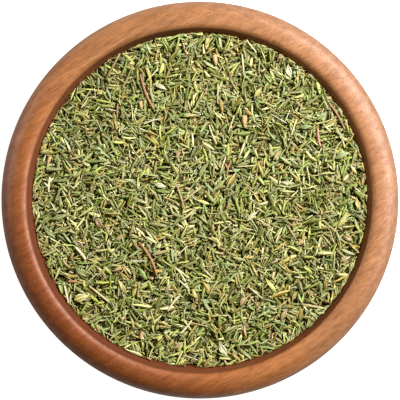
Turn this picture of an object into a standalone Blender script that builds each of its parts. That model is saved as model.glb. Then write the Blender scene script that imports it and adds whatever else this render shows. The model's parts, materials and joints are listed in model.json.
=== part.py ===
"""A turned wooden bowl filled with dried thyme, with the larger bits of herb lying on top.

Metres, +Z up. The origin is the middle of the foot's underside: the bowl stands on z = 0.
"""

import math
from typing import NamedTuple

import bmesh
import bpy
from mathutils import Matrix, Vector
from mathutils.geometry import interpolate_bezier

MM = 0.001
GAP = 0.3 * MM
MERGE = 0.01 * MM

# The bowl's turned profile: radii and heights.
RIM_RADIUS = 75.0 * MM
RIM_WIDEST_HEIGHT = 42.0 * MM
CREST_RADIUS = 66.9 * MM
CREST_HEIGHT = 50.0 * MM
MOUTH_RADIUS = 64.5 * MM
LIP_HEIGHT = 47.6 * MM
FLOOR_HEIGHT = 11.0 * MM
FLOOR_FLAT = 36.0 * MM
WALL_TAPER = math.radians(4)
WALL_STRAIGHT = 27.0 * MM
BELLY_DROP = 16.0 * MM
BELLY_SLOPE = math.radians(35)
BELLY_REACH = 21.0 * MM
FOOT_RADIUS = 40.0 * MM
FOOT_TOP_HEIGHT = 6.0 * MM
FOOT_EDGE = 0.8 * MM
RECESS_RADIUS = 31.0 * MM
RECESS_DEPTH = 1.5 * MM
TURN_STEPS = 48

# The thyme that fills it: a low dome with shallow heaps.
FILL_HEIGHT = 40.5 * MM
FILL_DOME = 0.8 * MM
BED_RINGS = 13
HEAPS = (
    # height, wavelength, direction in degrees, phase
    (0.28 * MM, 46.0 * MM, 25, 0.4),
    (0.22 * MM, 33.0 * MM, 100, 1.9),
    (0.16 * MM, 24.0 * MM, 160, 3.1),
)

# Leaves: the cross-section's roll and groove are shares of the width, the arch of the length.
LEAF_THICKNESS = 0.3 * MM
LEAF_CELLS_LONG = 5
LEAF_CELLS_ACROSS = 4
LEAF_NARROWEST = 0.2
LEAF_SKEW = 0.85
LEAF_FULLNESS = 0.7
LEAF_GROOVE = 0.10
LEAF_ROLL = 0.30
LEAF_ARCH = 0.06

# Stems, twigs and sprig tips.
STEM_POINTS = 7
STEM_SIDES = 1
KNOT_SWELL = 1.3
TWIG_BEND = 0.05
SHOOT_SPREAD = math.radians(48)
SHOOT_TAPER = 0.8
SPRIG_BEND = 0.04
SPRIG_LEAF_SPREAD = math.radians(37)
SPRIG_LEAF_OPENING = math.radians(9)

# Flower cups: radii are shares of the mouth's radius, heights are shares of the length.
CUP_STEPS = 10
CUP_WALL = 0.22
CUP_WAIST = 0.62
CUP_STALK = 0.30
CUP_HOLLOW_FLOOR = 0.45
CUP_SHOULDER = 0.62
CUP_BELLY = 0.34
CUP_NECK = 0.14

# Colours are linear red, green, blue.
WOOD = (0.36, 0.13, 0.05)
THYME = (0.17, 0.21, 0.06)
FRESH_GREEN = (0.26, 0.36, 0.09)
GREY_GREEN = (0.30, 0.38, 0.18)
PALE = (0.72, 0.76, 0.46)
YELLOW = (0.68, 0.60, 0.18)
TAN = (0.55, 0.40, 0.18)
BROWN = (0.33, 0.20, 0.10)
PINK = (0.48, 0.22, 0.18)
WOOD_ROUGHNESS = 0.45
THYME_ROUGHNESS = 0.9
DRY_ROUGHNESS = 0.7


class Place(NamedTuple):
    """Where a loose piece lies: millimetres from the bowl's axis, and degrees from +X."""

    x: float
    y: float
    turn: float


LEAVES = (
    # name, place, length and width in millimetres, colour
    ("yellow_leaf_1", Place(54, -7, 57), 7.0, 2.1, YELLOW),
    ("yellow_leaf_2", Place(60, -1, 110), 5.2, 1.7, YELLOW),
    ("yellow_leaf_3", Place(22, 41, 57), 4.8, 1.9, YELLOW),
    ("yellow_leaf_4", Place(-29, -33, -63), 6.8, 1.8, YELLOW),
    ("yellow_leaf_5", Place(-45, -37, 20), 5.8, 3.4, YELLOW),
    ("tan_leaf_1", Place(17, -38, 54), 5.0, 2.2, TAN),
    ("tan_leaf_2", Place(55, -22, 25), 4.6, 1.9, TAN),
    ("tan_leaf_3", Place(56, -14, 155), 4.2, 2.4, TAN),
    ("tan_leaf_4", Place(32, -43, 67), 4.9, 1.9, TAN),
    ("tan_leaf_5", Place(-12, -33, 54), 4.0, 1.6, TAN),
    ("tan_leaf_6", Place(-8, -55, 35), 4.6, 1.3, TAN),
    ("tan_leaf_7", Place(-30, -14, 33), 4.6, 1.5, TAN),
    ("tan_leaf_8", Place(36, -36, 64), 4.2, 1.4, TAN),
    ("brown_leaf_1", Place(-38, -9, -57), 5.0, 2.2, BROWN),
    ("green_leaf_1", Place(46, 32, 41), 5.4, 1.9, FRESH_GREEN),
    ("green_leaf_2", Place(40, 28, 5), 5.2, 1.5, FRESH_GREEN),
    ("green_leaf_3", Place(54, 17, 27), 5.8, 2.2, GREY_GREEN),
    ("green_leaf_4", Place(-45, -27, -39), 6.2, 1.7, FRESH_GREEN),
    ("green_leaf_5", Place(-57, -12, -43), 7.0, 1.6, FRESH_GREEN),
    ("green_leaf_6", Place(-53, -6, 18), 7.6, 1.8, FRESH_GREEN),
    ("green_leaf_7", Place(-13, 38, 33), 5.2, 1.9, FRESH_GREEN),
    ("pale_leaf_1", Place(-15, 43, 160), 5.6, 1.8, PALE),
    ("pale_leaf_2", Place(9, -56, 124), 6.2, 2.6, PALE),
    ("pale_leaf_3", Place(34, 49, 107), 5.4, 2.4, PALE),
    ("pale_leaf_4", Place(20, -6, 45), 5.6, 1.8, PALE),
    ("pale_leaf_5", Place(-15, 6, 169), 5.2, 1.8, PALE),
    ("pale_leaf_6", Place(33, 7, 174), 4.8, 1.4, PALE),
)
STEMS = (
    # name, place, length and width in millimetres, bend as a share of the length, knots, colour
    ("long_stem_1", Place(-19, -22, -62), 15.0, 0.9, 0.07, (2, 4), TAN),
    ("long_stem_2", Place(-20, 41, -69), 15.0, 0.9, -0.05, (3,), TAN),
    ("long_stem_3", Place(52, 32, -59), 12.5, 0.8, 0.04, (1, 4), BROWN),
    ("pink_stem", Place(45, 24, 98), 7.6, 1.0, 0.04, (3,), PINK),
    ("pale_stem_1", Place(5, 25, 112), 8.0, 0.7, 0.03, (), PALE),
    ("pale_stem_2", Place(-7, -28, 125), 6.8, 0.7, -0.05, (), PALE),
    ("pale_stem_3", Place(-10, -39, 54), 7.2, 0.9, 0.04, (4,), PALE),
    ("pale_stem_4", Place(-5, -48, 50), 6.8, 0.9, -0.03, (2,), PALE),
    ("pale_stem_5", Place(-18, 30, 18), 6.6, 0.7, 0.05, (), PALE),
    ("pale_stem_6", Place(30, -13, 68), 6.2, 0.8, 0.02, (), PALE),
    ("knotted_stem", Place(-45, -20, -51), 6.4, 1.1, 0.04, (1, 3, 5), PALE),
    ("brown_stem_1", Place(-47, -31, -9), 6.0, 0.9, 0.06, (2,), BROWN),
    ("brown_stem_2", Place(-31, 34, 88), 5.6, 0.7, 0.03, (), BROWN),
)
FLOWER_CUPS = (
    # name, place, length and width of the mouth in millimetres, colour
    ("flower_cup_1", Place(6, 53, 100), 4.1, 2.2, BROWN),
    ("flower_cup_2", Place(17, 30, 91), 4.6, 2.3, TAN),
    ("flower_cup_3", Place(-31, -26, 25), 3.4, 1.9, TAN),
    ("flower_cup_4", Place(-22, 36, 103), 3.2, 1.7, TAN),
    ("flower_cup_5", Place(29, 17, 59), 4.0, 1.7, TAN),
    ("flower_cup_6", Place(38, -16, 36), 3.2, 1.8, TAN),
    ("flower_cup_7", Place(-57, 15, 70), 3.4, 1.6, BROWN),
    ("flower_cup_8", Place(-22, -51, 67), 3.0, 1.8, TAN),
)
TWIGS = (
    # name, place, length and width in millimetres, where shoots start, their length, colour
    ("forked_twig_1", Place(-57, 6, 86), 6.0, 0.9, (2, 4), 2.6, PALE),
    ("forked_twig_2", Place(11, 12, 75), 6.4, 0.8, (3,), 2.8, TAN),
)
SPRIG_TIPS = (
    # name, place, stem's length and width and leaves' length and width in millimetres, colour
    ("sprig_tip_1", Place(-36, 18, 135), 6.0, 0.8, 3.6, 1.3, FRESH_GREEN),
    ("sprig_tip_2", Place(24, -43, 30), 5.2, 0.8, 3.4, 1.2, GREY_GREEN),
)
SPRIG_LEAF_PAIRS = (5, 3)


def clear_scene():
    for scene_object in list(bpy.data.objects):
        bpy.data.objects.remove(scene_object, do_unlink=True)


def new_collection(name):
    collection = bpy.data.collections.new(name)
    bpy.context.scene.collection.children.link(collection)
    return collection


def plain_material(name, colour, roughness):
    material = bpy.data.materials.new(name)
    material.use_nodes = True
    shader = material.node_tree.nodes["Principled BSDF"]
    shader.inputs["Base Color"].default_value = (*colour, 1.0)
    shader.inputs["Roughness"].default_value = roughness
    shader.inputs["Metallic"].default_value = 0.0
    return material


def add_object(name, data, collection, colour, roughness=DRY_ROUGHNESS):
    data.materials.append(plain_material(name, colour, roughness))
    new_object = bpy.data.objects.new(name, data)
    collection.objects.link(new_object)
    return new_object


def evaluated_mesh(source):
    graph = bpy.context.evaluated_depsgraph_get()
    return bpy.data.meshes.new_from_object(source.evaluated_get(graph))


# ---- turned pieces ----


def bezier(start, start_handle, end_handle, end, count):
    """Points of a cubic curve in the profile's plane, with both ends."""
    return interpolate_bezier(Vector(start), Vector(start_handle), Vector(end_handle), Vector(end), count)


def elliptic_arc(centre, radii, first_angle, last_angle, count):
    """Points between two angles in degrees, without the first, counted from +X towards +Z."""
    points = []
    for step in range(1, count + 1):
        angle = math.radians(first_angle + (last_angle - first_angle) * step / count)
        points.append(Vector(centre) + Vector((radii[0] * math.cos(angle), radii[1] * math.sin(angle))))
    return points


def inside_curve():
    """The hollow, as radius and height, from the middle of its floor up to the lip."""
    top = Vector((MOUTH_RADIUS, LIP_HEIGHT))
    down_wall = Vector((-math.sin(WALL_TAPER), -math.cos(WALL_TAPER)))
    floor_centre = (0.0, FLOOR_HEIGHT)
    floor_handle = (FLOOR_FLAT, FLOOR_HEIGHT)
    return bezier(floor_centre, floor_handle, top + WALL_STRAIGHT * down_wall, top, 14)


def bowl_profile():
    lip_radii = (CREST_RADIUS - MOUTH_RADIUS, CREST_HEIGHT - LIP_HEIGHT)
    lip = elliptic_arc((CREST_RADIUS, LIP_HEIGHT), lip_radii, 180, 90, 4)
    rim_radii = (RIM_RADIUS - CREST_RADIUS, CREST_HEIGHT - RIM_WIDEST_HEIGHT)
    rim = elliptic_arc((CREST_RADIUS, RIM_WIDEST_HEIGHT), rim_radii, 90, 0, 7)
    belly_top = (RIM_RADIUS, RIM_WIDEST_HEIGHT)
    belly_handle = (RIM_RADIUS, RIM_WIDEST_HEIGHT - BELLY_DROP)
    foot_top = Vector((FOOT_RADIUS, FOOT_TOP_HEIGHT))
    up_belly = Vector((math.cos(BELLY_SLOPE), math.sin(BELLY_SLOPE)))
    belly = bezier(belly_top, belly_handle, foot_top + BELLY_REACH * up_belly, foot_top, 10)
    foot = [
        Vector((FOOT_RADIUS, FOOT_EDGE)),
        Vector((FOOT_RADIUS - FOOT_EDGE, 0.0)),
        Vector((RECESS_RADIUS, 0.0)),
        Vector((RECESS_RADIUS - RECESS_DEPTH, RECESS_DEPTH)),
        Vector((0.0, RECESS_DEPTH)),
    ]
    return inside_curve() + lip + rim + belly[1:] + foot


def profile_mesh(name, profile):
    mesh = bpy.data.meshes.new(name)
    edges = [(index, index + 1) for index in range(len(profile) - 1)]
    mesh.from_pydata([(point[0], 0.0, point[1]) for point in profile], edges, [])
    return mesh


def add_screw(turned, steps):
    screw = turned.modifiers.new("Turn", "SCREW")
    screw.axis = "Z"
    screw.steps = steps
    screw.render_steps = steps
    screw.use_merge_vertices = True
    screw.merge_threshold = MERGE
    screw.use_smooth_shade = True


def make_bowl(collection):
    bowl = add_object("bowl", profile_mesh("bowl", bowl_profile()), collection, WOOD, WOOD_ROUGHNESS)
    add_screw(bowl, TURN_STEPS)


# ---- the thyme bed ----


def bed_underside():
    """The hollow's curve moved inwards by the gap, from the fill's edge down to the axis."""
    curve = inside_curve()
    moved = []
    for before, after in zip(curve, curve[1:]):
        along = (after - before).normalized()
        moved.append(before + GAP * Vector((-along.y, along.x)))
    moved[0].x = 0.0
    below = [point for point in moved if point.y < FILL_HEIGHT - GAP]
    wall_bottom = below[-1]
    wall_top = moved[len(below)]
    share = (FILL_HEIGHT - wall_bottom.y) / (wall_top.y - wall_bottom.y)
    edge = wall_bottom.lerp(wall_top, share)
    return [edge] + below[::-1]


def bed_height(x, y):
    """Height of the thyme's surface: the heaps die out at the wall."""
    share = min(1.0, math.hypot(x, y) / MOUTH_RADIUS)
    heap = 0.0
    for height, wavelength, direction, phase in HEAPS:
        angle = math.radians(direction)
        along = x * math.cos(angle) + y * math.sin(angle)
        heap += height * math.sin(math.tau * along / wavelength + phase)
    return FILL_HEIGHT + FILL_DOME * (1 - share**2) + heap * (1 - share**4)


def make_thyme_bed(collection):
    underside = bed_underside()
    edge_radius = underside[0].x
    top = [Vector((edge_radius * ring / BED_RINGS, FILL_HEIGHT)) for ring in range(BED_RINGS)]
    turned = bpy.data.objects.new("thyme_bed_profile", profile_mesh("thyme_bed", top + underside))
    collection.objects.link(turned)
    add_screw(turned, TURN_STEPS)
    mesh = evaluated_mesh(turned)
    bpy.data.objects.remove(turned)
    for vertex in mesh.vertices:
        if vertex.co.z > FILL_HEIGHT - GAP:
            vertex.co.z = bed_height(vertex.co.x, vertex.co.y)
    add_object("thyme_bed", mesh, collection, THYME, THYME_ROUGHNESS)


# ---- loose pieces: each is shaped about its own origin and follows the bed below it ----


def set_place(loose, place):
    loose.location = (place.x * MM, place.y * MM, 0.0)
    loose.rotation_euler = (0.0, 0.0, math.radians(place.turn))


def height_below(local, place):
    """Height of the bed under a point of a piece, given in the piece's own frame."""
    spot = Matrix.Rotation(math.radians(place.turn), 2) @ Vector((local[0], local[1]))
    return bed_height(place.x * MM + spot.x, place.y * MM + spot.y)


def leaf_fullness(along):
    """Share of the leaf's full width at a share of its length, from stalk to tip."""
    swell = math.sin(math.pi * along**LEAF_SKEW) ** LEAF_FULLNESS
    return LEAF_NARROWEST + (1 - LEAF_NARROWEST) * swell


def leaf_cage(length, width):
    """A leaf blade along +X from its stalk at the origin: arched, grooved and rolled under."""
    cage = bmesh.new()
    bmesh.ops.create_grid(cage, x_segments=LEAF_CELLS_LONG, y_segments=LEAF_CELLS_ACROSS, size=0.5)
    for vertex in cage.verts:
        along = min(1.0, max(0.0, vertex.co.x + 0.5))
        across = 2 * vertex.co.y
        fullness = leaf_fullness(along)
        groove = LEAF_GROOVE * max(0.0, 1 - 2 * abs(across))
        section = width * fullness * (LEAF_ROLL * (1 - across**2) - groove)
        arch = length * LEAF_ARCH * 4 * along * (1 - along)
        vertex.co = (along * length, across * width * fullness / 2, section + arch)
    return cage


def mesh_from_cage(name, cage):
    mesh = bpy.data.meshes.new(name)
    cage.to_mesh(mesh)
    cage.free()
    mesh.shade_smooth()
    return mesh


def add_thickness(leaf):
    solidify = leaf.modifiers.new("Thickness", "SOLIDIFY")
    solidify.thickness = LEAF_THICKNESS
    solidify.offset = 0.0


def make_leaf(collection, name, place, length, width, colour):
    cage = leaf_cage(length * MM, width * MM)
    bmesh.ops.translate(cage, verts=cage.verts, vec=(-length * MM / 2, 0.0, 0.0))
    for vertex in cage.verts:
        vertex.co.z += height_below(vertex.co, place) + GAP + LEAF_THICKNESS
    leaf = add_object(name, mesh_from_cage(name, cage), collection, colour)
    add_thickness(leaf)
    set_place(leaf, place)


def stem_curve(name, points, radius, knots=()):
    curve = bpy.data.curves.new(name, "CURVE")
    curve.dimensions = "3D"
    curve.bevel_depth = radius
    curve.bevel_resolution = STEM_SIDES
    curve.use_fill_caps = True
    spline = curve.splines.new("POLY")
    spline.points.add(len(points) - 1)
    for index, point in enumerate(points):
        spline.points[index].co = (*point, 1.0)
        spline.points[index].radius = KNOT_SWELL if index in knots else 1.0
    return curve


def stem_points(length, radius, bend, place):
    """The middle line of a bent stem along X, centred on its own origin and clear of the bed."""
    points = []
    for index in range(STEM_POINTS):
        share = index / (STEM_POINTS - 1)
        sideways = bend * length * (4 * share * (1 - share) - 0.5)
        local = Vector(((share - 0.5) * length, sideways, 0.0))
        local.z = height_below(local, place) + radius * KNOT_SWELL + GAP
        points.append(local)
    return points


def make_stem(collection, name, place, length, width, bend, knots, colour):
    radius = width * MM / 2
    points = stem_points(length * MM, radius, bend, place)
    stem = add_object(name, stem_curve(name, points, radius, knots), collection, colour)
    set_place(stem, place)


def cup_profile(length, mouth):
    """A flower cup on its stalk, as radius and height, from the hollow's floor over the lip to the stalk."""
    wall = CUP_WALL * mouth
    hollow_floor = CUP_HOLLOW_FLOOR * length
    return [
        Vector((0.0, hollow_floor)),
        Vector((CUP_WAIST * mouth - wall, hollow_floor + wall)),
        Vector((mouth - wall, length)),
        Vector((mouth, length)),
        Vector((CUP_WAIST * mouth + wall, CUP_SHOULDER * length)),
        Vector((CUP_WAIST * mouth + wall, CUP_BELLY * length)),
        Vector((CUP_STALK * mouth, CUP_NECK * length)),
        Vector((CUP_STALK * mouth, 0.0)),
        Vector((0.0, 0.0)),
    ]


def make_flower_cup(collection, name, place, length, width, colour):
    """A cup lying on its side, with its mouth facing the way it is turned."""
    radius = width * MM / 2
    cup = add_object(name, profile_mesh(name, cup_profile(length * MM, radius)), collection, colour)
    add_screw(cup, CUP_STEPS)
    angle = math.radians(place.turn)
    stalk_end = Vector((place.x, place.y)) * MM - Vector((math.cos(angle), math.sin(angle))) * length * MM / 2
    height = bed_height(place.x * MM, place.y * MM) + radius + 2 * GAP
    cup.location = (stalk_end.x, stalk_end.y, height)
    cup.rotation_euler = (0.0, math.radians(90), angle)


# ---- pieces that grew together: tubes and blades joined in one solid ----


def mesh_of_curve(curve_object, collection):
    """Replaces a curve object with a closed mesh object of the same name and place."""
    name = curve_object.name
    cage = bmesh.new()
    cage.from_mesh(evaluated_mesh(curve_object))
    bmesh.ops.remove_doubles(cage, verts=cage.verts, dist=MERGE)
    mesh = mesh_from_cage(name, cage)
    for material in curve_object.data.materials:
        mesh.materials.append(material)
    solid = bpy.data.objects.new(name, mesh)
    solid.matrix_world = curve_object.matrix_world
    bpy.data.objects.remove(curve_object)
    solid.name = name
    collection.objects.link(solid)
    return solid


def add_helper(name, data, helpers):
    helper = bpy.data.objects.new(name, data)
    helpers.objects.link(helper)
    return helper


def grow_onto(main, addition):
    """Joins a helper to the main piece and hides the helper."""
    addition.hide_render = True
    addition.display_type = "WIRE"
    joint = main.modifiers.new("Join " + addition.name, "BOOLEAN")
    joint.operation = "UNION"
    joint.object = addition


def make_joined_stem(collection, name, place, points, radius, colour):
    stem = add_object(name, stem_curve(name, points, radius), collection, colour)
    stem = mesh_of_curve(stem, collection)
    set_place(stem, place)
    return stem


def make_twig(collection, helpers, name, place, length, width, starts, shoot_length, colour):
    radius = width * MM / 2
    points = stem_points(length * MM, radius, TWIG_BEND, place)
    twig = make_joined_stem(collection, name, place, points, radius, colour)
    for index, start in enumerate(starts):
        angle = SHOOT_SPREAD if index % 2 == 0 else -SHOOT_SPREAD
        reach = Vector((math.cos(angle), math.sin(angle), 0.0)) * shoot_length * MM
        shoot_name = f"{name}_shoot_{index + 1}"
        shoot_line = [points[start], points[start] + reach / 2, points[start] + reach]
        shoot = add_helper(shoot_name, stem_curve(shoot_name, shoot_line, radius * SHOOT_TAPER), helpers)
        shoot = mesh_of_curve(shoot, helpers)
        set_place(shoot, place)
        grow_onto(twig, shoot)


def make_sprig_tip(
    collection, helpers, name, place, length, width, leaf_length, leaf_width, colour
):
    radius = width * MM / 2
    points = stem_points(length * MM, radius, SPRIG_BEND, place)
    sprig = make_joined_stem(collection, name, place, points, radius, colour)
    for pair, start in enumerate(SPRIG_LEAF_PAIRS):
        for side in (-1, 1):
            spread = side * (SPRIG_LEAF_SPREAD + SPRIG_LEAF_OPENING * pair)
            cage = leaf_cage(leaf_length * MM, leaf_width * MM)
            onto_stem = Matrix.Translation(points[start]) @ Matrix.Rotation(spread, 4, "Z")
            bmesh.ops.transform(cage, matrix=onto_stem, verts=cage.verts)
            leaf_name = f"{name}_leaf_{pair + 1}_{'left' if side > 0 else 'right'}"
            leaf = add_helper(leaf_name, mesh_from_cage(leaf_name, cage), helpers)
            add_thickness(leaf)
            set_place(leaf, place)
            grow_onto(sprig, leaf)


def main():
    clear_scene()
    collection = new_collection("bowl_of_dried_thyme")
    helpers = new_collection("helpers")
    make_bowl(collection)
    make_thyme_bed(collection)
    for leaf in LEAVES:
        make_leaf(collection, *leaf)
    for stem in STEMS:
        make_stem(collection, *stem)
    for cup in FLOWER_CUPS:
        make_flower_cup(collection, *cup)
    for twig in TWIGS:
        make_twig(collection, helpers, *twig)
    for sprig in SPRIG_TIPS:
        make_sprig_tip(collection, helpers, *sprig)


main()
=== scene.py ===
import json
import math

import bmesh
import bpy
import numpy as np
from mathutils import Matrix, Vector
from mathutils.bvhtree import BVHTree
from mathutils.geometry import interpolate_bezier

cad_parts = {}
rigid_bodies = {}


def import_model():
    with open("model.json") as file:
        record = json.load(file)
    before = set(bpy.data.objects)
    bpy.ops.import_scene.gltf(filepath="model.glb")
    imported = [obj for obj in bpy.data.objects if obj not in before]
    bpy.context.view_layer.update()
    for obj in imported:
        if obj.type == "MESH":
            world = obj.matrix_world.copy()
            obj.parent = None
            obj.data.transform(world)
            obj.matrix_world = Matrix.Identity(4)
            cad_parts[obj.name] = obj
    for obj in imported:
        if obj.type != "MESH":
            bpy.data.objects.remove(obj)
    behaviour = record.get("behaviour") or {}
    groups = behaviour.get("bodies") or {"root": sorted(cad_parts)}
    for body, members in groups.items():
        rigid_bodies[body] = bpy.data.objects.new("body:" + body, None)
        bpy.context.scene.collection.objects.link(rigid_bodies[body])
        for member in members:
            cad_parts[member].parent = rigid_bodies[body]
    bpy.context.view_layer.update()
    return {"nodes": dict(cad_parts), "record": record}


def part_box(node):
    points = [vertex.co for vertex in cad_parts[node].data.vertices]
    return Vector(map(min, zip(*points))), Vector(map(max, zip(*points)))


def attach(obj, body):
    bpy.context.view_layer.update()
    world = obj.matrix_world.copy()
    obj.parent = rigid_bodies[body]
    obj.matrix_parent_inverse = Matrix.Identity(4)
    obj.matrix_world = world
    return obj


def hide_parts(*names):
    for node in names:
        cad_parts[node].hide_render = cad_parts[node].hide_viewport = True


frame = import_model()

MM = 0.001

# ---- the bowl, whose driving sizes come from the frame ----
BOWL_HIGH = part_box("bowl")[1]
BED_LOW, BED_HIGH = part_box("thyme_bed")
RIM_RADIUS = BOWL_HIGH.x
CREST_HEIGHT = BOWL_HIGH.z
RIM_ROUND = (8.1 * MM, 8.0 * MM)
LIP_ROUND = (2.4 * MM, 2.4 * MM)
CREST_RADIUS = RIM_RADIUS - RIM_ROUND[0]
RIM_WIDEST_HEIGHT = CREST_HEIGHT - RIM_ROUND[1]
MOUTH_RADIUS = CREST_RADIUS - LIP_ROUND[0]
LIP_HEIGHT = CREST_HEIGHT - LIP_ROUND[1]
FLOOR_HEIGHT = 11.0 * MM
FLOOR_FLAT = 36.0 * MM
WALL_TAPER = math.radians(4)
WALL_STRAIGHT = 27.0 * MM
BELLY_DROP = 16.0 * MM
BELLY_SLOPE = math.radians(35)
BELLY_REACH = 21.0 * MM
FOOT_RADIUS = 40.0 * MM
FOOT_TOP_HEIGHT = 6.0 * MM
FOOT_EDGE = 0.8 * MM
RECESS_RADIUS = 31.0 * MM
RECESS_DEPTH = 1.5 * MM
TURN_SEGMENTS = 256

# ---- the wood: shares and colours laid over its own tones, painted light and shade on its sides, and where the painted shade inside the mouth fades ----
GRAIN_TURN = math.radians(32)
# The side turned away from the key lights is painted darker and redder as painted shade, and the side towards
# them paler as painted light.
AWAY_FROM_KEY = (-0.77, -0.64, 0.0)
SHADE_SIDE_WANDER = 0.05
PAINTED_SHADE_REACH = (0.3 * RIM_RADIUS, RIM_RADIUS)
PAINTED_LIGHT_REACH = (0.5 * RIM_RADIUS, -0.15 * RIM_RADIUS)
WOOD_TONES = ((0.3, (0.37, 0.115, 0.030)), (0.5, (0.43, 0.145, 0.041)), (0.7, (0.49, 0.181, 0.057)))
PAINTED_SIDE_SHADE = (0.78, (0.22, 0.048, 0.012))
PAINTED_SIDE_LIGHT = (0.65, (0.43, 0.205, 0.090))
RINGS = (0.14, (0.20, 0.050, 0.014))
PORES = (0.5, (0.09, 0.024, 0.009))
# Painted shade inside the mouth: the wood under the lip and down below the fill's surface is darkened.
PAINTED_WALL_SHADE = (0.64, (0.12, 0.024, 0.006))
WALL_SHADE_EDGE = (MOUTH_RADIUS + 0.9 * MM, MOUTH_RADIUS + 0.2 * MM)
WALL_SHADE_TOP = (LIP_HEIGHT + 1.8 * MM, LIP_HEIGHT + 0.6 * MM)
WALL_SHADE_FOOT = (26 * MM, 34 * MM)
END_GRAIN_SHADE = 0.78

# ---- the pile of loose leaves ----
PILE_SEED = 20
PILE_CELL = 0.25 * MM
PILE_SIDE = int(2 * MOUTH_RADIUS / PILE_CELL) + 2
PILE_DEPTH = 2.4 * MM
PILE_ROUNDS = 50
ROUND_LEAVES = 640
PILE_PARTS = 5
# Laying a piece: the room left that counts as full, how far a piece may stand proud, its steepest slope, how
# much of its bulk it adds to the pile, where its middle lies in its own thickness, and how it rolls.
FULL_WITHIN = 0.15 * MM
MOST_PROUD = 1.1 * MM
STEEPEST = 0.9
PACKING = 0.8
LYING = 0.35
ROLL_SHARE = 0.5
ROLL_SPREAD = 0.35
LEAST_WIDTH = 0.30 * MM
SETTLED_ARCH = 0.04
UNDER_BITS = 0.1 * MM
# At the wall, a share of the pieces is shorter and lies along it.
WALL_CLEARANCE = 0.02 * MM
WALL_RISE = 0.45 * MM
WALL_ZONE = 4 * MM
ALONG_WALL = 0.5
ALONG_WALL_SPREAD = 0.5
ALONG_WALL_LENGTH = 0.8
# A slow drift of colour: sine waves, their range of radians per metre, and how far they move the colour.
COLOUR_WAVES = 7
COLOUR_WAVE_RANGE = (350, 1400)
COLOUR_DRIFT = 1.7
SKIN_COLUMNS = 16
SKIN_MARGIN = 0.08
DEPTHS_TOP = BED_HIGH.z - PILE_DEPTH - 0.6 * MM
DEPTHS_RINGS = 24
DEPTHS_SHELL = 0.3 * MM

# ---- the camera: the share of the picture that the rim fills, and the lean off straight above ----
CAMERA_FILL = 0.993
CAMERA_LEAN = math.radians(3)
CAMERA_LEAN_TURN = math.radians(45)

# ---- floor, lights and surround ----
FLOOR_SIZE = 2.0
FLOOR_DROP = 0.05 * MM
LIGHT_DISTANCE = 0.9
LIGHTS = (
    # name, degrees round and up, long and short way across, watts, colour
    ("key_on_bowl", 35, 45, (0.45, 0.45), 13.7, (1.0, 0.99, 0.97)),
    ("low_sheen", 26, 16, (1.7, 0.6), 21.0, (1.0, 1.0, 1.0)),
    ("high_sheen", 26, 58, (0.9, 0.9), 4.5, (1.0, 1.0, 1.0)),
    ("far_side_on_bowl", 165, 12, (0.5, 0.5), 2.2, (0.96, 0.96, 1.0)),
    ("key_on_thyme", 42, 50, (0.14, 0.14), 20.6, (1.0, 0.995, 1.06)),
)
SURROUND_COLOUR = (1.0, 0.76, 0.18)
SURROUND_STRENGTH = 0.12


# ==== node wiring ====


class Wiring:
    """Adds nodes to a tree. An input given as a socket is linked, and any other value is set."""

    def __init__(self, tree):
        self.tree = tree

    def feed(self, node, inputs):
        for name, value in inputs.items():
            if isinstance(value, bpy.types.NodeSocket):
                self.tree.links.new(value, node.inputs[name])
            else:
                node.inputs[name].default_value = value
        return node

    def add(self, kind, inputs=None, **settings):
        """A node. Its settings come first, because a group node gets its sockets from its tree."""
        node = self.tree.nodes.new(kind)
        for name, value in settings.items():
            setattr(node, name, value)
        return self.feed(node, inputs or {})

    def maths(self, operation, *values):
        return self.add("ShaderNodeMath", dict(enumerate(values)), operation=operation).outputs[0]

    def plus(self, first, second):
        return self.maths("ADD", first, second)

    def minus(self, first, second):
        return self.maths("SUBTRACT", first, second)

    def times(self, first, second):
        return self.maths("MULTIPLY", first, second)

    def vector_maths(self, operation, *values):
        return self.add("ShaderNodeVectorMath", dict(enumerate(values)), operation=operation).outputs[0]

    def number(self, operation, *vectors):
        """A number made from vectors: a length or a dot product."""
        node = self.add("ShaderNodeVectorMath", dict(enumerate(vectors)), operation=operation)
        return node.outputs["Value"]

    def scaled(self, vector, amount):
        return self.add("ShaderNodeVectorMath", {0: vector, "Scale": amount}, operation="SCALE").outputs[0]

    def parts(self, vector):
        return self.add("ShaderNodeSeparateXYZ", {0: vector}).outputs

    def vector(self, **parts):
        return self.add("ShaderNodeCombineXYZ", parts).outputs[0]

    def blend(self, share, first, second):
        """Two colours mixed. A colour that isn't a socket has three numbers."""
        inputs = {0: share}
        for index, colour in ((6, first), (7, second)):
            inputs[index] = colour if isinstance(colour, bpy.types.NodeSocket) else (*colour, 1.0)
        return self.add("ShaderNodeMix", inputs, data_type="RGBA").outputs[2]

    def remap(self, value, low, high, to_low=0.0, to_high=1.0, kind="LINEAR"):
        inputs = {"Value": value, "From Min": low, "From Max": high, "To Min": to_low, "To Max": to_high}
        return self.add("ShaderNodeMapRange", inputs, interpolation_type=kind).outputs[0]

    def fade(self, *spans):
        return self.remap(*spans, kind="SMOOTHSTEP")

    def noise(self, vector, scale, detail=3.0, roughness=0.5):
        inputs = {"Vector": vector, "Scale": scale, "Detail": detail, "Roughness": roughness}
        return self.add("ShaderNodeTexNoise", inputs).outputs["Fac"]

    def ramp(self, value, stops):
        node = self.add("ShaderNodeValToRGB", {"Fac": value})
        elements = node.color_ramp.elements
        while len(elements) < len(stops):
            elements.new(0.5)
        for element, (position, colour) in zip(elements, stops):
            element.position = position
            element.color = (*colour, 1.0)
        return node.outputs["Color"]

    def relief(self, height, strength, distance):
        inputs = {"Height": height, "Strength": strength, "Distance": distance}
        return self.add("ShaderNodeBump", inputs).outputs[0]


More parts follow.
